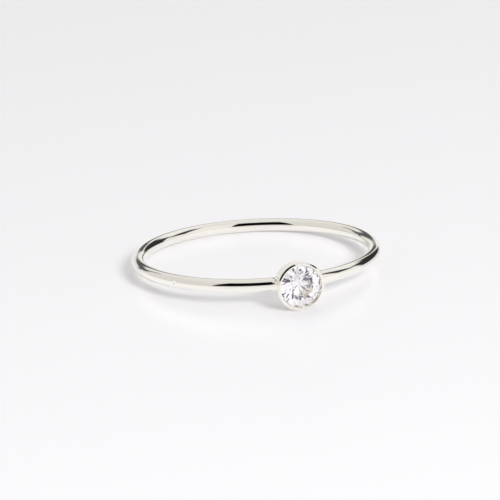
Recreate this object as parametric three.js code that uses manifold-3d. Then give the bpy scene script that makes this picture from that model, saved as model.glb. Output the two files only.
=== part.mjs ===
// Stackable ring: a plain round-wire band and one small round stone in a tapered bezel cup.
// Millimetres, +Z up. The ring lies as it rests by itself, on the cup's rim in front (-Y)
// and on the band behind (+Y). The origin is under the middle of it, on the surface.
import * as THREE from "three";
import { mergeVertices } from "three/addons/utils/BufferGeometryUtils.js";
import Module from "manifold-3d";

// Band
const boreDiameter = 17.3; // US size 7
const wireDiameter = 1.04; // 18 gauge wire
const bandSteps = 128; // segments round the finger
const wireSides = 20; // segments round the wire

// Bezel cup. Distances along its axis are measured outwards from the finger's axis.
const cupBack = 8.78; // flat back, just clear of the finger
const cupShoulder = 9.5; // where the coned back meets the wall
const cupRim = 10.78; // plane of the rim
const cupBackRadius = 0.95;
const cupShoulderRadius = 1.7;
const cupRimRadius = 1.83;
const cupSides = 56;
const shoulderRound = 0.15;
const rimEdgeRound = 0.2;
const roundSteps = 4; // segments in each rounded edge

// Lip, burnished over the stone's girdle
const lipMouthRadius = 1.53; // where its inner edge meets the crown
const lipBevel = 0.08; // how much wider the mouth is at the rim plane

// Pocket under the stone
const pocketGap = 0.035; // clearance round the stone
const pocketFloorRadius = 0.35;
const backPlate = 0.14; // metal left under the pocket

// Stone: round brilliant
const stoneDiameter = 3.3;
const tableRatio = 0.5;
const starReach = 0.43; // how far the star facets reach from table to girdle
const crownHeight = 0.51;
const girdleHeight = 0.09;
const pavilionDepth = 1.365;
const lowerHalfReach = 0.8; // how far the lower halves reach from girdle to culet
const girdlePlane = 10.42; // top of the girdle, from the finger's axis
const mainFacets = 8;
const cutTurn = 26.7; // degrees that the cut is turned in its seat

// Solder at the two joints between wire and cup
const solderSpread = 0.16; // how far it stands off the wire at the cup
const solderRun = 0.5; // how far it creeps along the wire
const solderInCup = 0.55; // how far its hidden root runs into the cup
const solderSteps = 4;

const wireRadius = wireDiameter / 2;
const bandRadius = boreDiameter / 2 + wireRadius;
const stoneRadius = stoneDiameter / 2;
const tableRadius = stoneRadius * tableRatio;

const wasm = await Module();
wasm.setup();
const { Manifold, Mesh: SolidMesh } = wasm;

// A closed three.js geometry as a solid that can be joined and cut.
function toSolid(geometry) {
  const bare = geometry.clone();
  bare.deleteAttribute("normal");
  bare.deleteAttribute("uv");
  const merged = mergeVertices(bare, 1e-4);
  return new Manifold(
    new SolidMesh({
      numProp: 3,
      vertProperties: merged.attributes.position.array,
      triVerts: new Uint32Array(merged.index.array),
    }),
  );
}

// A solid as a flat-shaded three.js geometry.
function toGeometry(solid) {
  const mesh = solid.getMesh();
  const geometry = new THREE.BufferGeometry();
  geometry.setAttribute("position", new THREE.BufferAttribute(mesh.vertProperties, 3));
  geometry.setIndex(new THREE.BufferAttribute(mesh.triVerts, 1));
  const flat = geometry.toNonIndexed();
  flat.computeVertexNormals();
  return flat;
}

// A rounded edge between two directions, in degrees, as profile points.
function edgeRound(centreRadius, centreHeight, size, from, to) {
  return Array.from({ length: roundSteps + 1 }, (_, i) => {
    const angle = THREE.MathUtils.degToRad(from + ((to - from) * i) / roundSteps);
    return new THREE.Vector2(
      centreRadius + size * Math.cos(angle),
      centreHeight + size * Math.sin(angle),
    );
  });
}

// A turned body: profile points are (radius, distance from the finger's axis).
// The lathe's own axis, +Y, is laid along -Y, the way that the cup faces.
function turned(profile, sides) {
  const geometry = new THREE.LatheGeometry(profile, sides);
  geometry.rotateX(Math.PI);
  return geometry;
}

// The wire, closed to a full circle round the finger.
function bandWire() {
  return new THREE.TorusGeometry(bandRadius, wireRadius, wireSides, bandSteps);
}

// The cup as a full block: flat back, cone, rounded shoulder, wall and rounded rim.
function cupBlock() {
  return turned(
    [
      new THREE.Vector2(0, cupBack),
      new THREE.Vector2(cupBackRadius, cupBack),
      ...edgeRound(cupShoulderRadius - shoulderRound, cupShoulder, shoulderRound, -50, 0),
      ...edgeRound(cupRimRadius - rimEdgeRound, cupRim - rimEdgeRound, rimEdgeRound, 0, 90),
      new THREE.Vector2(0, cupRim),
    ],
    cupSides,
  );
}

// The hollow in the cup: a coned floor, a seat round the girdle, then the narrower mouth.
function pocket() {
  const seatRadius = stoneRadius + pocketGap;
  const girdleBack = girdlePlane - girdleHeight;
  const crownSlope = crownHeight / (stoneRadius - tableRadius);
  const lipUnderside = girdlePlane + (stoneRadius - lipMouthRadius) * crownSlope + pocketGap;
  const aboveRim = 1;
  return turned(
    [
      new THREE.Vector2(0, cupBack + backPlate),
      new THREE.Vector2(pocketFloorRadius, cupBack + backPlate),
      new THREE.Vector2(seatRadius - pocketGap, girdleBack - 2 * pocketGap),
      new THREE.Vector2(seatRadius, girdleBack - pocketGap),
      new THREE.Vector2(seatRadius, girdlePlane + pocketGap),
      new THREE.Vector2(lipMouthRadius, lipUnderside),
      new THREE.Vector2(lipMouthRadius + lipBevel, cupRim),
      new THREE.Vector2(lipMouthRadius + lipBevel, cupRim + aboveRim),
      new THREE.Vector2(0, cupRim + aboveRim),
    ],
    cupSides,
  );
}

// Solder that flares from the wire to the cup's wall. side is -1 for left, 1 for right.
function solderFlare(side) {
  const jointAngle = Math.asin(cupShoulderRadius / bandRadius);
  const points = [
    new THREE.Vector2(0, -solderInCup),
    new THREE.Vector2(wireRadius / 2, -solderInCup),
  ];
  for (let i = 0; i <= solderSteps; i++) {
    const along = i / solderSteps;
    points.push(
      new THREE.Vector2(wireRadius + solderSpread * (1 - along) ** 2, along * solderRun),
    );
  }
  points.push(new THREE.Vector2(0, solderRun));
  const geometry = new THREE.LatheGeometry(points, wireSides);
  geometry.rotateZ(-side * (Math.PI / 2));
  geometry.translate(0, -bandRadius, 0);
  geometry.rotateZ(side * jointAngle);
  return geometry;
}

// The space that the finger fills, which the solder is filed back to.
function fingerSpace() {
  const geometry = new THREE.CylinderGeometry(
    boreDiameter / 2,
    boreDiameter / 2,
    2 * wireDiameter,
    bandSteps,
  );
  geometry.rotateX(Math.PI / 2);
  return geometry;
}

// Band, solder and cup, joined into one piece of silver and hollowed for the stone.
function metalGeometry() {
  const solder = toSolid(solderFlare(-1)).add(toSolid(solderFlare(1)));
  const joined = toSolid(bandWire())
    .add(toSolid(cupBlock()))
    .add(solder.subtract(toSolid(fingerSpace())));
  return toGeometry(joined.subtract(toSolid(pocket())));
}

// A ring of points round the stone's axis. Offset is the first point's place, in steps.
function facetRing(count, radius, distance, offset) {
  return Array.from({ length: count }, (_, i) => {
    const angle = ((i + offset) * 2 * Math.PI) / count - THREE.MathUtils.degToRad(cutTurn);
    return new THREE.Vector3(-radius * Math.sin(angle), -distance, radius * Math.cos(angle));
  });
}

// Round brilliant: table, stars, kites and upper halves above the girdle,
// lower halves and pavilion mains below it. Each main facet is flat.
function stoneGeometry() {
  const girdleBack = girdlePlane - girdleHeight;
  const halfStep = Math.PI / mainFacets;
  const starRadius = stoneRadius - (stoneRadius - tableRadius) * starReach;
  const starOnKite = starRadius * Math.cos(halfStep);
  const starRise = (crownHeight * (stoneRadius - starOnKite)) / (stoneRadius - tableRadius);
  const lowerRadius = stoneRadius * (1 - lowerHalfReach);
  const lowerOnMain = lowerRadius * Math.cos(halfStep);
  const lowerDrop = pavilionDepth * (1 - lowerOnMain / stoneRadius);
  const table = facetRing(mainFacets, tableRadius, girdlePlane + crownHeight, 0);
  const stars = facetRing(mainFacets, starRadius, girdlePlane + starRise, 0.5);
  const upper = facetRing(mainFacets * 2, stoneRadius, girdlePlane, 0);
  const lower = facetRing(mainFacets * 2, stoneRadius, girdleBack, 0);
  const mains = facetRing(mainFacets, lowerRadius, girdleBack - lowerDrop, 0.5);
  const culet = new THREE.Vector3(0, -(girdleBack - pavilionDepth), 0);
  const tableCentre = new THREE.Vector3(0, -(girdlePlane + crownHeight), 0);
  const corners = [];
  const facet = (...points) => {
    for (let i = 1; i + 1 < points.length; i++) corners.push(points[0], points[i], points[i + 1]);
  };
  for (let k = 0; k < mainFacets; k++) {
    const next = (k + 1) % mainFacets;
    const before = (k + mainFacets - 1) % mainFacets;
    const main = 2 * k;
    const half = 2 * k + 1;
    const nextMain = (2 * k + 2) % (2 * mainFacets);
    facet(tableCentre, table[k], table[next]);
    facet(table[k], stars[k], table[next]);
    facet(table[k], stars[before], upper[main], stars[k]);
    facet(stars[k], upper[main], upper[half]);
    facet(stars[k], upper[half], upper[nextMain]);
    facet(upper[main], lower[main], lower[half], upper[half]);
    facet(upper[half], lower[half], lower[nextMain], upper[nextMain]);
    facet(mains[k], lower[half], lower[main]);
    facet(mains[k], lower[nextMain], lower[half]);
    facet(culet, mains[k], lower[main], mains[before]);
  }
  const geometry = new THREE.BufferGeometry().setFromPoints(corners);
  geometry.computeVertexNormals();
  return geometry;
}

// Angle by which the front is lifted: the surface touches the round of the rim in front
// and the wire behind, so it is the common tangent under those two circles.
function restTilt() {
  const between = cupRim - rimEdgeRound + bandRadius;
  const drop = cupRimRadius - rimEdgeRound;
  const slope = Math.atan2(drop, between);
  return slope - Math.asin((wireRadius - rimEdgeRound) / Math.hypot(drop, between));
}

const silver = new THREE.MeshStandardMaterial({
  color: 0xf1ede2,
  roughness: 0.08,
  metalness: 1,
});
const clearStone = new THREE.MeshStandardMaterial({
  color: 0xf4f3f6,
  roughness: 0.02,
  metalness: 0,
  flatShading: true,
});

const metal = new THREE.Mesh(metalGeometry(), silver);
metal.name = "band_and_cup";
const stone = new THREE.Mesh(stoneGeometry(), clearStone);
stone.name = "stone";

const lying = new THREE.Group();
lying.add(metal, stone);
lying.rotation.x = -restTilt();

const ring = new THREE.Group();
ring.add(lying);
ring.updateMatrixWorld(true);
const box = new THREE.Box3().setFromObject(lying, true);
lying.position.set(
  -(box.min.x + box.max.x) / 2,
  -(box.min.y + box.max.y) / 2,
  -box.min.z,
);

export default ring;
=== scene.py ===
import math
import bpy
import numpy as np
from mathutils import Matrix, Vector


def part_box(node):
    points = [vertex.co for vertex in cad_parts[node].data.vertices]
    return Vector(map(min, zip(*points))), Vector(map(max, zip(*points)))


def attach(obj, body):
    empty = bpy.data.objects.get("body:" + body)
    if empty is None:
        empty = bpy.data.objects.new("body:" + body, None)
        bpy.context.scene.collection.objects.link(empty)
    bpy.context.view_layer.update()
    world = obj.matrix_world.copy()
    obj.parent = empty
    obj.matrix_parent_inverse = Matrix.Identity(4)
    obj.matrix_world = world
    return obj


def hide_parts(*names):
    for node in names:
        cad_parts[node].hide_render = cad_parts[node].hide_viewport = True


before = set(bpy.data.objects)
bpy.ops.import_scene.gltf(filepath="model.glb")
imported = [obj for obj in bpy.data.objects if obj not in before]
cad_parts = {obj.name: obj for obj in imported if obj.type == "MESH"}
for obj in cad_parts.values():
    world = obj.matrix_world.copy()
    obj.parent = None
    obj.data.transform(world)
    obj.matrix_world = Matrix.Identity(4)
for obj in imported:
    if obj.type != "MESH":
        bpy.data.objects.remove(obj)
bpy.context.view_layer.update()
scene = bpy.context.scene
mm = 0.001
print("frame loaded:", sorted(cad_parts))

# Sizes shared by the pieces, in millimetres
ring = {
    "boreDiameter": 17.3,  # inside of the band
    "wireDiameter": 1.04,
    "rimPlane": 10.78,  # front of the cup, from the finger's axis
    "rimRadius": 1.83,
    "rimRound": 0.2,  # size of the worn edge between wall and rim
}
wireRadius = ring["wireDiameter"] / 2
bandRadius = ring["boreDiameter"] / 2 + wireRadius


# The lying ring touches the floor with the round of its rim and with the back of the wire.
# The tilt is the slope of the line under those two circles.
def restTilt():
    between = ring["rimPlane"] - ring["rimRound"] + bandRadius
    drop = ring["rimRadius"] - ring["rimRound"]
    lean = math.asin((wireRadius - ring["rimRound"]) / math.hypot(between, drop))
    return math.atan2(drop, between) - lean


tilt = restTilt()
centre = Vector((
    0.0,
    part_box("band_and_cup")[1].y / mm - bandRadius * math.cos(tilt) - wireRadius,
    bandRadius * math.sin(tilt) + wireRadius,
))


# From the ring's own frame (finger axis +Z, cup towards -Y, millimetres) to the row's frame
def toRow(points):
    turned = Matrix.Rotation(-tilt, 3, "X")
    return (np.asarray(points) @ np.array(turned.transposed()) + np.array(centre)) * mm


# A mesh from a grid of points, indexed [along, around]. Wrapped directions close on themselves,
# open ends of the first direction are closed with one flat face each.
def gridPiece(name, points, wrapAlong, capEnds=False, flip=False):
    rows, cols = points.shape[:2]
    index = np.arange(rows * cols).reshape(rows, cols)
    ahead = np.roll(index, -1, axis=0) if wrapAlong else index[1:]
    here = index if wrapAlong else index[:-1]
    quads = np.stack(
        [here, np.roll(here, -1, axis=1), np.roll(ahead, -1, axis=1), ahead], axis=-1
    ).reshape(-1, 4)
    faces = quads[:, ::-1].tolist() if flip else quads.tolist()
    if capEnds:
        first, last = index[0].tolist(), index[-1].tolist()
        faces += [first, last[::-1]] if flip else [first[::-1], last]
    mesh = bpy.data.meshes.new(name)
    mesh.from_pydata(toRow(points.reshape(-1, 3)).tolist(), [], faces)
    mesh.validate()
    mesh.shade_smooth()
    piece = bpy.data.objects.new(name, mesh)
    scene.collection.objects.link(piece)
    return piece


# Slow, closed waviness round a circle: a sum of a few cosines with seeded sizes and phases
def waviness(angle, seed, orders, size):
    dice = np.random.default_rng(seed)
    wave = np.zeros_like(angle)
    for order in orders:
        wave += dice.normal() / order * np.cos(order * angle + dice.uniform(0, 2 * np.pi))
    return size * wave


def smoothStep(low, high, value):
    t = np.clip((value - low) / (high - low), 0, 1)
    return t * t * (3 - 2 * t)


band = {
    "stepsAlong": 960,
    "stepsAround": 76,
    "bend": 0.012,  # how far the circle wanders from true
    "bendFrom": 0.2,  # radians round from the cup where that begins
    "bendFull": 0.7,
    "swell": 0.006,  # how much the wire's thickness varies
    "dentAngle": -57.5,  # place of the small dent, degrees round from the cup
    "dentHeight": 2.0,  # and round the wire, degrees up from its outside
    "dentRadius": 0.13,
    "dentDepth": 0.09,
    "backOfCup": 8.9,  # the wire is filed to this where it crosses behind the cup
    "filedTo": 0.10,  # radians round from the cup where the filing ends
    "fullFrom": 0.17,
}


# The wire: a circle of wireRadius carried round a circle of bandRadius, both slightly uneven.
# The dent is a bell-shaped hollow pushed in along the wire's own normal.
def makeBand():
    along = np.linspace(0, 2 * np.pi, band["stepsAlong"], endpoint=False)[:, None]
    around = np.linspace(0, 2 * np.pi, band["stepsAround"], endpoint=False)[None, :]
    fade = smoothStep(band["bendFrom"], band["bendFull"], np.minimum(along, 2 * np.pi - along))
    path = bandRadius + fade * waviness(along, 3, (2, 3, 5), band["bend"])
    rise = fade * waviness(along, 8, (2, 3, 4), band["bend"])
    section = wireRadius + waviness(along, 5, (3, 7, 11, 19), band["swell"]) - band["swell"]
    dentAlong = math.radians(band["dentAngle"]) % (2 * math.pi)
    dentAround = math.radians(band["dentHeight"])
    offAlong = (along - dentAlong) * bandRadius
    offAround = (np.mod(around - dentAround + np.pi, 2 * np.pi) - np.pi) * wireRadius
    away = (offAlong**2 + offAround**2) / band["dentRadius"] ** 2
    section = section - band["dentDepth"] * np.exp(-away * 2)
    reach = path + section * np.cos(around)
    fromCup = np.minimum(along, 2 * np.pi - along)
    crossing = smoothStep(band["filedTo"], band["fullFrom"], fromCup)
    limit = band["backOfCup"] + crossing * 2 * wireRadius
    reach = np.minimum(reach, limit)
    height = rise + section * np.sin(around)
    points = np.stack(
        [reach * np.sin(along), -reach * np.cos(along), np.broadcast_to(height, reach.shape)], -1
    )
    return gridPiece("band", points, wrapAlong=True, flip=True)


cup = {
    "backPlane": 8.78,
    "backRadius": 0.95,
    "shoulderPlane": 9.44,
    "shoulderRadius": 1.69,
    "shoulderRound": 0.15,
    "bevelDepth": 0.09,  # the filed edge between wall and rim
    "bevelWidth": 0.13,
    "mouthRadius": 1.53,  # where the lip meets the stone
    "mouthBevel": 0.08,
    "lipUnderside": 10.56,
    "seatRadius": 1.69,
    "seatBack": 10.26,
    "floorPlane": 8.92,
    "floorRadius": 0.35,
    "lipSlope": 0.1,  # how far the lip's underside falls from mouth to seat
    "backRound": 0.06,
    "wallRound": 0.05,
    "faceRound": 0.06,
    "mouthRound": 0.04,
    "innerRound": 0.02,
    "seatRound": 0.01,
    "poleRadius": 0.004,  # the flat faces that close the turned profile
    "turnSteps": 224,
    "lipWave": 0.008,  # unevenness left by the burnisher
    "waveFrom": 10.45,
    "waveFull": 10.7,
}


# A path through corners (x, y, round), each corner replaced with an arc of that radius:
# the arc's ends are round * tan(half the turn) away from the corner, on its two sides.
def roundedPath(corners, arcSteps=10, straightStep=0.06):
    path = [np.array(corners[0][:2])[None, :]]
    for before, corner, after in zip(corners, corners[1:], corners[2:]):
        here = np.array(corner[:2])
        back = np.array(before[:2]) - here
        ahead = np.array(after[:2]) - here
        back /= np.linalg.norm(back)
        ahead /= np.linalg.norm(ahead)
        half = math.acos(np.clip(back @ ahead, -1, 1)) / 2
        reach = corner[2] / math.tan(half)
        hub = here + (back + ahead) / np.linalg.norm(back + ahead) * corner[2] / math.sin(half)
        start = here + back * reach - hub
        end = here + ahead * reach - hub
        t = np.linspace(0, 1, arcSteps)[:, None]
        sweep = math.pi - 2 * half
        arc = (np.sin((1 - t) * sweep) * start + np.sin(t * sweep) * end) / math.sin(sweep)
        path.append(hub + arc)
    path.append(np.array(corners[-1][:2])[None, :])
    joined = [path[0]]
    for piece in path[1:]:
        gap = np.linalg.norm(piece[0] - joined[-1][-1])
        fill = np.linspace(0, 1, max(2, int(gap / straightStep) + 1))[1:-1, None]
        joined.append(joined[-1][-1] + (piece[0] - joined[-1][-1]) * fill)
        joined.append(piece)
    return np.concatenate([p for p in joined if len(p)])


# The cup: one closed profile (back, cone, wall, rim, lip, pocket) turned round the stone's axis.
# Near the rim the radius and height wander a little, as burnishing leaves them.
def makeCup():
    pole, inner, seat = cup["poleRadius"], cup["innerRound"], cup["seatRound"]
    profile = roundedPath([
        (pole, cup["backPlane"], 0),
        (cup["backRadius"], cup["backPlane"], cup["backRound"]),
        (cup["shoulderRadius"], cup["shoulderPlane"], cup["shoulderRound"]),
        (ring["rimRadius"], ring["rimPlane"] - cup["bevelDepth"], cup["wallRound"]),
        (ring["rimRadius"] - cup["bevelWidth"], ring["rimPlane"], cup["faceRound"]),
        (cup["mouthRadius"] + cup["mouthBevel"], ring["rimPlane"], cup["mouthRound"]),
        (cup["mouthRadius"], cup["lipUnderside"], inner),
        (cup["seatRadius"], cup["lipUnderside"] - cup["lipSlope"], seat),
        (cup["seatRadius"], cup["seatBack"], seat),
        (cup["floorRadius"], cup["floorPlane"], inner),
        (pole, cup["floorPlane"], 0),
    ])
    turn = np.linspace(0, 2 * np.pi, cup["turnSteps"], endpoint=False)[None, :]
    radius, reach = profile[:, :1], profile[:, 1:]
    nearRim = smoothStep(cup["waveFrom"], cup["waveFull"], reach)
    radius = radius + nearRim * waviness(turn, 12, (2, 3, 5, 9, 14), cup["lipWave"])
    reach = reach + nearRim * (waviness(turn, 14, (2, 3, 7), cup["lipWave"] / 2) - cup["lipWave"])
    points = np.stack([radius * np.sin(turn), -np.broadcast_to(reach, radius.shape),
                       radius * np.cos(turn)], -1)
    return gridPiece("cup", points, wrapAlong=False, capEnds=True, flip=True)


solder = {
    "spread": 0.15,  # how far it stands off the wire at the cup
    "run": 0.5,  # how far it creeps along the wire
    "root": 0.25,  # how far it is buried in the cup
    "sink": 0.012,  # how far its thin end lies under the wire's surface
    "stepsAlong": 36,
    "stepsAround": 64,
    "meetRounds": 6,
}


# The cup's outside at a distance from the finger's axis: a cone, then a nearly straight wall
def cupOutside(plane):
    return np.interp(plane, [cup["backPlane"], cup["shoulderPlane"], ring["rimPlane"]],
                     [cup["backRadius"], cup["shoulderRadius"], ring["rimRadius"]])


# A solder fillet: the wire's section, swollen by spread * (1 - s / run) ** 2, where s is how far
# a point is from the cup along the wire. It is kept out of the finger's space.
def makeSolder(name, side):
    along = np.linspace(-solder["root"], solder["run"], solder["stepsAlong"])[:, None]
    around = np.linspace(0, 2 * np.pi, solder["stepsAround"], endpoint=False)[None, :]
    swell = solder["spread"] * (1 - np.clip(along, 0, None) / solder["run"]) ** 2
    swell = swell * (1 + waviness(around, 21, (2, 3, 5), 0.1))
    section = wireRadius - solder["sink"] + swell
    reach = bandRadius + section * np.cos(around)
    height = section * np.sin(around)
    wall = np.full_like(reach, cup["shoulderRadius"])
    for _ in range(solder["meetRounds"]):  # each round brings the wall nearer to where they meet
        plane = np.sqrt(np.clip(reach**2 - wall**2, 0, None))
        wall = np.sqrt(np.clip(cupOutside(plane) ** 2 - height**2, 0.3, None))
    turn = side * (np.arcsin(wall / reach) + along / bandRadius)
    reach = np.maximum(reach, ring["boreDiameter"] / 2 + solder["sink"] / 2)
    points = np.stack([reach * np.sin(turn), -reach * np.cos(turn), height], -1)
    return gridPiece(name, points, wrapAlong=False, capEnds=True, flip=side > 0)


stone = {
    "diameter": 3.3,
    "girdlePlane": 10.42,  # top of the girdle, from the finger's axis
    "girdleHeight": 0.09,
    "tableRatio": 0.5,
    "crownHeight": 0.51,
    "starReach": 0.43,
    "pavilionDepth": 1.365,
    "lowerHalfReach": 0.8,
    "mains": 8,
    "turn": 26.7,  # degrees that the cut is turned in its seat
}


# The cut stone: rings of corners at set radii and depths, joined by flat facets.
# Star and lower-half corners are placed where a flat main facet passes through them.
def makeStone():
    mains, radius = stone["mains"], stone["diameter"] / 2
    table = radius * stone["tableRatio"]
    back = stone["girdlePlane"] - stone["girdleHeight"]
    squeeze = math.cos(math.pi / mains)
    star = radius - (radius - table) * stone["starReach"]
    starRise = stone["crownHeight"] * (radius - star * squeeze) / (radius - table)
    lower = radius * (1 - stone["lowerHalfReach"])
    lowerDrop = stone["pavilionDepth"] * (1 - lower * squeeze / radius)

    def corners(count, size, plane, offset):
        angle = (np.arange(count) + offset) * 2 * np.pi / count + math.radians(stone["turn"])
        return np.stack([size * np.sin(angle), np.full(count, -plane), size * np.cos(angle)], -1)

    front = stone["girdlePlane"]
    points = np.concatenate([
        corners(mains, table, front + stone["crownHeight"], 0),
        corners(mains, star, front + starRise, 0.5),
        corners(mains * 2, radius, front, 0),
        corners(mains * 2, radius, back, 0),
        corners(mains, lower, back - lowerDrop, 0.5),
        corners(1, 0, back - stone["pavilionDepth"], 0),
    ])
    tableAt, starAt, upperAt, lowerAt, mainAt, culet = np.cumsum([0, 1, 1, 2, 2, 1]) * mains
    k = np.arange(mains)
    after, before = (k + 1) % mains, (k - 1) % mains
    a, b, c = 2 * k, 2 * k + 1, (2 * k + 2) % (2 * mains)
    threes = np.stack([
        [tableAt + after, starAt + k, tableAt + k],
        [upperAt + b, upperAt + a, starAt + k],
        [upperAt + c, upperAt + b, starAt + k],
        [lowerAt + a, lowerAt + b, mainAt + k],
        [lowerAt + b, lowerAt + c, mainAt + k],
    ]).transpose(0, 2, 1).reshape(-1, 3)
    fours = np.stack([
        [starAt + k, upperAt + a, starAt + before, tableAt + k],
        [upperAt + b, lowerAt + b, lowerAt + a, upperAt + a],
        [upperAt + c, lowerAt + c, lowerAt + b, upperAt + b],
        [mainAt + before, lowerAt + a, mainAt + k, np.full(mains, culet)],
    ]).transpose(0, 2, 1).reshape(-1, 4)
    faces = [k[::-1].tolist()] + threes.tolist() + fours.tolist()
    mesh = bpy.data.meshes.new("cut_stone")
    mesh.from_pydata(toRow(points).tolist(), [], faces)
    mesh.validate()
    piece = bpy.data.objects.new("cut_stone", mesh)
    scene.collection.objects.link(piece)
    return piece


print("building band, cup, solder and stone")
bandPiece = makeBand()
cupPiece = makeCup()
solderPieces = [makeSolder("solder_left", -1), makeSolder("solder_right", 1)]
stonePiece = makeStone()


# A number or link in a node tree. Arithmetic on it adds Math nodes to the same tree.
class Value:
    def __init__(self, tree, socket):
        self.tree, self.socket = tree, socket

    def math(self, operation, *others):
        return self.tree.add("ShaderNodeMath", {"operation": operation}, [self, *others])

    def __add__(self, other):
        return self.math("ADD", other)

    def __radd__(self, other):
        return self.math("ADD", other)

    def __mul__(self, other):
        return self.math("MULTIPLY", other)

    def __rmul__(self, other):
        return self.math("MULTIPLY", other)

    def __pow__(self, other):
        return self.math("POWER", other)

    def __sub__(self, other):
        return self.math("SUBTRACT", other)

    def __rsub__(self, other):
        return self.tree.add("ShaderNodeMath", {"operation": "SUBTRACT"}, [other, self])


# A material's or the world's node tree
class Nodes:
    def __init__(self, owner):
        owner.use_nodes = True
        self.nodes, self.links = owner.node_tree.nodes, owner.node_tree.links
        self.nodes.clear()

    # Adds a node: its type, its settings, then the values or links of its sockets
    def add(self, kind, settings=None, sockets=None, output=0):
        node = self.nodes.new(kind)
        for name, setting in (settings or {}).items():
            setattr(node, name, setting)
        pairs = sockets.items() if isinstance(sockets, dict) else enumerate(sockets or [])
        for key, given in pairs:
            if isinstance(given, Value):
                self.links.new(given.socket, node.inputs[key])
            else:
                node.inputs[key].default_value = given
        return Value(self, node.outputs[output]) if len(node.outputs) else None

    def mix(self, factor, colourA, colourB):
        return self.add("ShaderNodeMix", {"data_type": "RGBA"},
                        {"Factor": factor, 6: colourA, 7: colourB}, output=2)


silverLook = {
    "colour": (0.97, 0.95, 0.89, 1),
    "roughness": 0.045,
    "cloudScale": 260.0,  # patches of slightly duller metal
    "cloudRough": 0.05,
    "scratchScale": 900.0,
    "scratchBump": 0.06,
}


def silverMaterial():
    material = bpy.data.materials.new("polished_silver")
    tree = Nodes(material)
    place = tree.add("ShaderNodeTexCoord", output=3)
    cloud = tree.add("ShaderNodeTexNoise", sockets={
        "Vector": place, "Scale": silverLook["cloudScale"], "Detail": 3.0})
    fine = tree.add("ShaderNodeTexNoise", sockets={
        "Vector": place, "Scale": silverLook["scratchScale"], "Detail": 4.0, "Roughness": 0.6})
    rough = silverLook["roughness"] + silverLook["cloudRough"] * (cloud ** 2.0)
    bump = tree.add("ShaderNodeBump", sockets={
        "Strength": silverLook["scratchBump"], "Distance": 0.00001, "Height": fine})
    shader = tree.add("ShaderNodeBsdfPrincipled", sockets={
        "Base Color": silverLook["colour"], "Metallic": 1.0, "Roughness": rough, "Normal": bump})
    tree.add("ShaderNodeOutputMaterial", sockets={"Surface": shader})
    return material


stoneLook = {
    "colour": (0.98, 0.975, 0.985, 1),
    "roughness": 0.0,
    "ior": 1.95,
}


def stoneMaterial():
    material = bpy.data.materials.new("cut_clear_stone")
    tree = Nodes(material)
    shader = tree.add("ShaderNodeBsdfPrincipled", sockets={
        "Base Color": stoneLook["colour"], "Roughness": stoneLook["roughness"],
        "IOR": stoneLook["ior"], "Transmission Weight": 1.0})
    tree.add("ShaderNodeOutputMaterial", sockets={"Surface": shader})
    return material


silver = silverMaterial()
for piece in (bandPiece, cupPiece, *solderPieces):
    piece.data.materials.append(silver)
    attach(piece, "root")
    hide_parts("band_and_cup")

stonePiece.data.materials.append(stoneMaterial())
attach(stonePiece, "root")
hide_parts("stone")
print("materials on")

# The light tent. Directions are degrees: azimuth round from where the cup faces, elevation
# above the floor. Tones are linear.
studio = {
    "floorSize": 0.9,
    "floorColour": (0.93, 0.925, 0.955, 1),
    "backdrop": (0.93, 0.925, 0.965, 1),
    "floorGlow": 0.13,  # light coming up through the table
    "leftCloth": (0.71, 0.7, 0.68, 1),
    "rightCloth": (0.88, 0.87, 0.85, 1),
    "topCloth": (0.78, 0.77, 0.75, 1),
    "stoneCloth": (1.15, 1.13, 1.14, 1),
    "sideBlend": (-0.7, 0.5),  # from left cloth to right cloth
    "topBlend": (0.7, 0.97),  # from the sides to the top cloth
    "cardTint": (1.0, 1.0, 1.1),
    "stoneTint": (1.3, 0.8, 2.4),
    "light": 1.0,
    "lampAzimuth": 15.0,
    "lampElevation": 34.0,
    "lampDistance": 0.8,
    "lampSize": 0.28,
    "lampPower": 3.7,
}
darkCards = [
    {"azimuth": -26, "elevation": 36, "width": 66, "height": 50, "soft": 3, "tone": 0.004},
    {"azimuth": 76, "elevation": 38, "width": 26, "height": 34, "soft": 6, "tone": 0.05},
    {"azimuth": 116, "elevation": 16, "width": 48, "height": 34, "soft": 8, "tone": 0.03},
    {"azimuth": -154, "elevation": 20, "width": 8, "height": 34, "soft": 5, "tone": 0.15},
    {"azimuth": 180, "elevation": 17, "width": 70, "height": 12, "soft": 5, "tone": 0.1},
]
# Cards met only by light that has passed through the stone. They aren't in the silver.
stoneCards = [
    {"azimuth": -10, "elevation": 10, "width": 26, "height": 20, "soft": 3, "tone": 0.04},
    {"azimuth": -44, "elevation": 12, "width": 14, "height": 16, "soft": 3, "tone": 0.04},
    {"azimuth": 40, "elevation": 30, "width": 20, "height": 30, "soft": 3, "tone": 0.03},
    {"azimuth": -30, "elevation": 32, "width": 12, "height": 20, "soft": 3, "tone": 0.08},
]


# Unit vector for an azimuth and an elevation in degrees
def towards(azimuth, elevation):
    az, el = math.radians(azimuth), math.radians(elevation)
    return Vector((math.sin(az) * math.cos(el), -math.cos(az) * math.cos(el), math.sin(el)))


def makeFloor():
    half = studio["floorSize"] / 2
    mesh = bpy.data.meshes.new("floor")
    mesh.from_pydata([(-half, -half, 0), (half, -half, 0), (half, half, 0), (-half, half, 0)],
                     [], [(0, 1, 2, 3)])
    floor = bpy.data.objects.new("floor", mesh)
    scene.collection.objects.link(floor)
    material = bpy.data.materials.new("pale_floor")
    tree = Nodes(material)
    shader = tree.add("ShaderNodeBsdfPrincipled", sockets={
        "Base Color": studio["floorColour"], "Roughness": 0.3, "IOR": 1.4,
        "Emission Color": studio["floorColour"], "Emission Strength": studio["floorGlow"]})
    tree.add("ShaderNodeOutputMaterial", sockets={"Surface": shader})
    mesh.materials.append(material)


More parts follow.
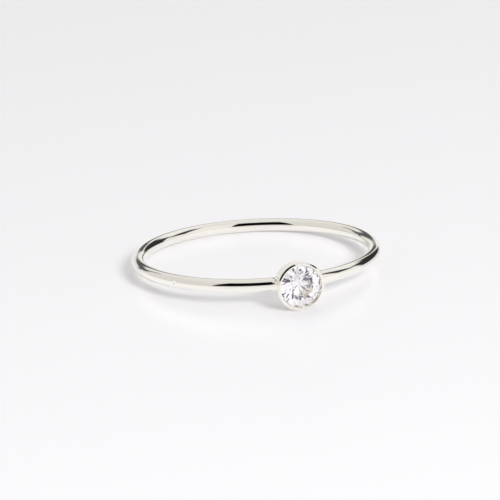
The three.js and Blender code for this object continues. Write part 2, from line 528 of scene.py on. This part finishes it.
# A soft lamp in front. It lights the floor, but the silver and the stone don't show it.
def makeLamp():
    data = bpy.data.lights.new("lamp", "AREA")
    data.shape, data.size, data.energy = "DISK", studio["lampSize"], studio["lampPower"]
    lamp = bpy.data.objects.new("lamp", data)
    lamp.visible_glossy = False
    lamp.visible_transmission = False
    place = towards(studio["lampAzimuth"], studio["lampElevation"]) * studio["lampDistance"]
    lamp.matrix_world = Matrix.Translation(place) @ place.to_track_quat("Z", "Y").to_matrix().to_4x4()
    scene.collection.objects.link(lamp)


# One inside a card's edges, fading to nothing over its soft border
def cardMask(tree, azimuth, elevation, card):
    turn = (azimuth - card["azimuth"]).math("WRAP", 180.0, -180.0)
    mask = 1.0
    for away, span in ((turn, card["width"]), (elevation - card["elevation"], card["height"])):
        edge = tree.add("ShaderNodeMapRange", {"interpolation_type": "SMOOTHSTEP"}, {
            "Value": away.math("ABSOLUTE"), "From Min": span / 2 + card["soft"] / 2,
            "From Max": span / 2 - card["soft"] / 2})
        mask = edge * mask
    return mask


def makeWorld():
    world = bpy.data.worlds.new("studio")
    scene.world = world
    tree = Nodes(world)
    way = tree.add("ShaderNodeTexCoord", output=0)
    parts = tree.add("ShaderNodeSeparateXYZ", sockets=[way])
    x, y, z = (Value(tree, parts.socket.node.outputs[axis]) for axis in "XYZ")
    azimuth = tree.add("ShaderNodeMath", {"operation": "ARCTAN2"}, [x, y * -1.0]) * (180 / math.pi)
    elevation = z.math("ARCSINE") * (180 / math.pi)
    side = tree.add("ShaderNodeMapRange", {"interpolation_type": "SMOOTHSTEP"},
                    {"Value": x, "From Min": studio["sideBlend"][0],
                     "From Max": studio["sideBlend"][1]})
    top = tree.add("ShaderNodeMapRange", {"interpolation_type": "SMOOTHSTEP"},
                   {"Value": z, "From Min": studio["topBlend"][0],
                    "From Max": studio["topBlend"][1]})
    cloth = tree.mix(side, studio["leftCloth"], studio["rightCloth"])
    cloth = tree.mix(top, cloth, studio["topCloth"])
    inside = studio["stoneCloth"]
    for card in darkCards:
        tone = (*(card["tone"] * part for part in studio["cardTint"]), 1)
        cloth = tree.mix(cardMask(tree, azimuth, elevation, card), cloth, tone)
    for card in stoneCards:
        tone = (*(card["tone"] * part for part in studio["stoneTint"]), 1)
        inside = tree.mix(cardMask(tree, azimuth, elevation, card), inside, tone)
    seen = tree.add("ShaderNodeLightPath")
    path = seen.socket.node.outputs
    cloth = tree.mix(Value(tree, path["Is Transmission Ray"]), cloth, inside)
    cloth = tree.mix(Value(tree, path["Is Camera Ray"]), cloth, studio["backdrop"])
    shader = tree.add("ShaderNodeBackground", sockets={"Color": cloth, "Strength": studio["light"]})
    tree.add("ShaderNodeOutputWorld", sockets={"Surface": shader})


camera = {
    "azimuth": -17.6,  # degrees; 0 looks straight at the stone
    "elevation": 18.3,
    "roll": -1.8,
    "distance": 0.2,
    "lens": 185.8,
    "aim": (-0.465, 0.29),  # millimetres right of and above the ring's centre
}


def makeCamera():
    data = bpy.data.cameras.new("camera")
    data.lens = camera["lens"]
    data.sensor_width = 36.0
    data.clip_start = 0.001
    eye = bpy.data.objects.new("camera", data)
    scene.collection.objects.link(eye)
    back = towards(camera["azimuth"], camera["elevation"])
    level = back.to_track_quat("Z", "Y").to_matrix()
    turned = level @ Matrix.Rotation(math.radians(camera["roll"]), 3, "Z")
    right, above = turned.col[0], turned.col[1]
    aim = centre * mm + (right * camera["aim"][0] + above * camera["aim"][1]) * mm
    eye.matrix_world = Matrix.Translation(aim + back * camera["distance"]) @ turned.to_4x4()
    scene.camera = eye


makeFloor()
makeLamp()
makeWorld()
makeCamera()
scene.view_settings.view_transform = "Standard"
scene.cycles.glossy_bounces = 12
scene.cycles.transmission_bounces = 16
scene.cycles.max_bounces = 20
print("stage, light and camera set")
